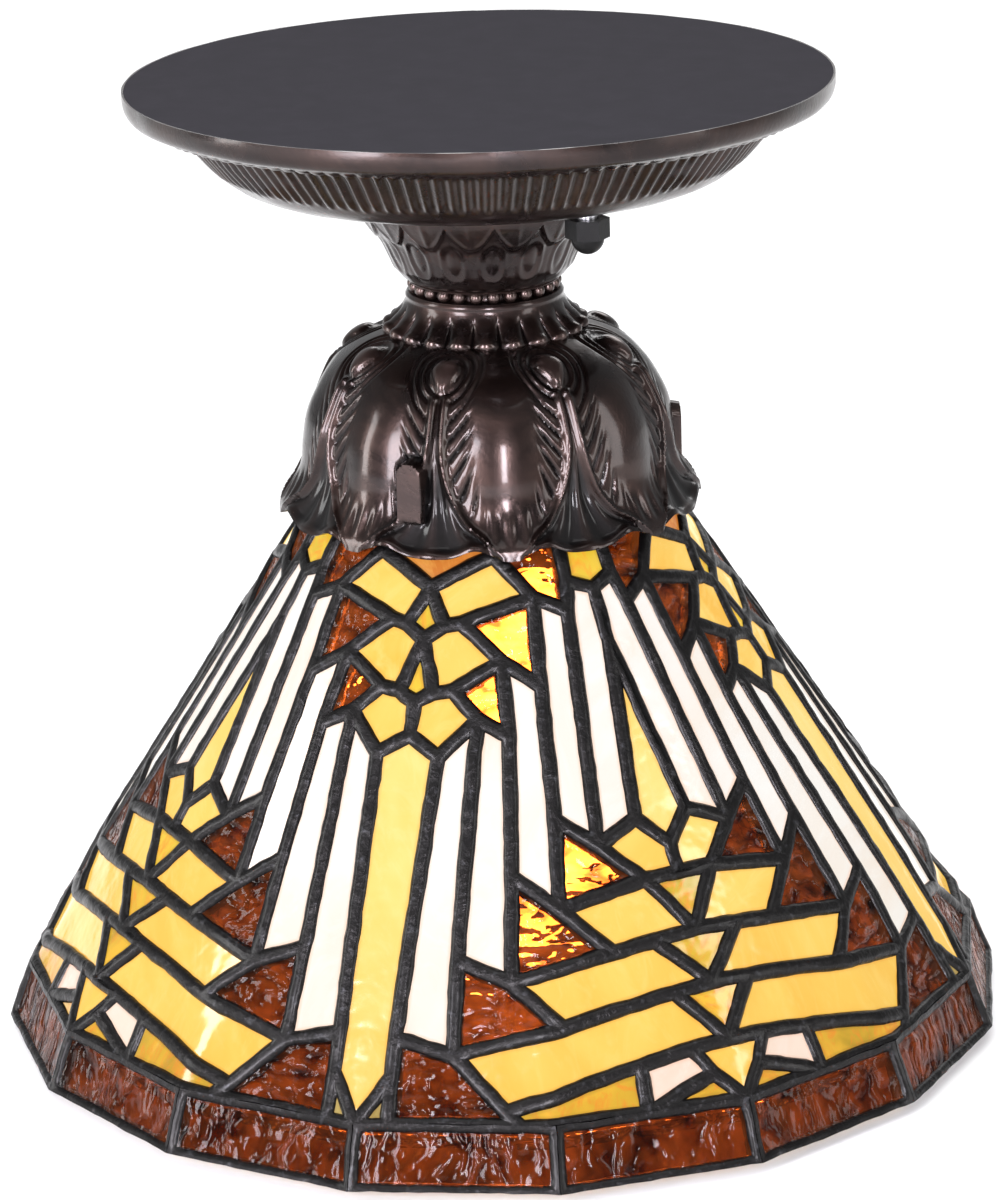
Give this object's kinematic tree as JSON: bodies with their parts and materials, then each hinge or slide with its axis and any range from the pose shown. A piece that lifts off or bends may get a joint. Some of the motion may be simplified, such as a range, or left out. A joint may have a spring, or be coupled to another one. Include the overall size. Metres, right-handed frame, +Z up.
{
  "type": "leaded glass flush ceiling light",
  "caption": "Flush ceiling light: a cast bronze-finish canopy, neck and leaf-relief bell carry a conical leaded art-glass shade with a faceted rim round one screw-base bulb.",
  "frame": {"origin": "centre of the canopy's top face, which lies against the ceiling", "axes": "+Z up into the ceiling along the light's axis, so the whole light is below the origin; -Y is the front"},
  "size_m": [0.2036, 0.2036, 0.1909],
  "materials": {
    "backing": "dark grey fibre board, matt",
    "bronze": "dark mahogany bronze lacquer, glossy",
    "zinc_steel": "zinc plated",
    "green_screw": "green dyed",
    "black_nut": "black, satin",
    "brass": "plain brass",
    "liner": "brown insulating paper",
    "porcelain": "glazed",
    "wire_black": "insulated",
    "wire_white": "insulated",
    "connector": "moulded",
    "bulb_glass": "frosted, lit",
    "aluminium": "rolled",
    "clear_glass": "clear",
    "tungsten": "glowing",
    "lead": "black patina on solder",
    "white_glass": "opal, lit from inside",
    "amber_glass": "streaky amber, lit from inside",
    "brown_glass": "rippled root-beer brown",
    "green_glass": "streaky olive",
    "orange_glass": "streaky orange",
    "pink_glass": "pale pink opal"
  },
  "bodies": {
    "root": {"backing_plate": "backing", "canopy": "bronze", "crossbar": "zinc_steel", "canopy_studs": "zinc_steel", "stud_locknuts": "zinc_steel", "ground_screw": "green_screw", "lamp_pipe": "zinc_steel", "canopy_washer": "zinc_steel", "canopy_locknut": "zinc_steel", "bell_washer": "zinc_steel", "bell_locknut": "zinc_steel", "neck": "bronze", "bead_ring": "bronze", "collar": "bronze", "bell": "bronze", "socket_cap": "brass", "socket_shell": "brass", "socket_liner": "liner", "socket_block": "porcelain", "screw_shell": "brass", "centre_contact": "brass", "lead_black": "wire_black", "lead_white": "wire_white", "wire_connectors": "connector"},
    "nut_front": {"cap_nut_front": "black_nut"},
    "nut_back": {"cap_nut_back": "black_nut"},
    "bulb": {"bulb_glass": "bulb_glass", "bulb_base": "aluminium", "filament_mount": "clear_glass", "filament": "tungsten"},
    "shade": {"shade_ring": "brass", "shade_lead": "lead", "skirt_lead": "lead", "glass_white": "white_glass", "glass_amber_blades": "amber_glass", "glass_amber": "amber_glass", "glass_brown": "brown_glass", "glass_green": "green_glass", "glass_orange": "orange_glass", "glass_pink": "pink_glass", "glass_tips": "amber_glass", "glass_skirt": "brown_glass"}
  },
  "joints": [
    {"name": "shade_twist", "type": "hinge", "parent": "root", "child": "shade", "pos_m": [0, 0, -0.0767], "axis": [0, 0, 1], "range_deg": [0, 20]},
    {"name": "bulb_turn", "type": "hinge", "parent": "root", "child": "bulb", "pos_m": [0, 0, -0.085], "axis": [0, 0, 1], "continuous": true},
    {"name": "nut_front_turn", "type": "hinge", "parent": "root", "child": "nut_front", "pos_m": [0.01982, -0.02884, -0.023], "axis": [0, 0, 1], "continuous": true},
    {"name": "nut_back_turn", "type": "hinge", "parent": "root", "child": "nut_back", "pos_m": [-0.01982, 0.02884, -0.023], "axis": [0, 0, 1], "continuous": true}
  ]
}
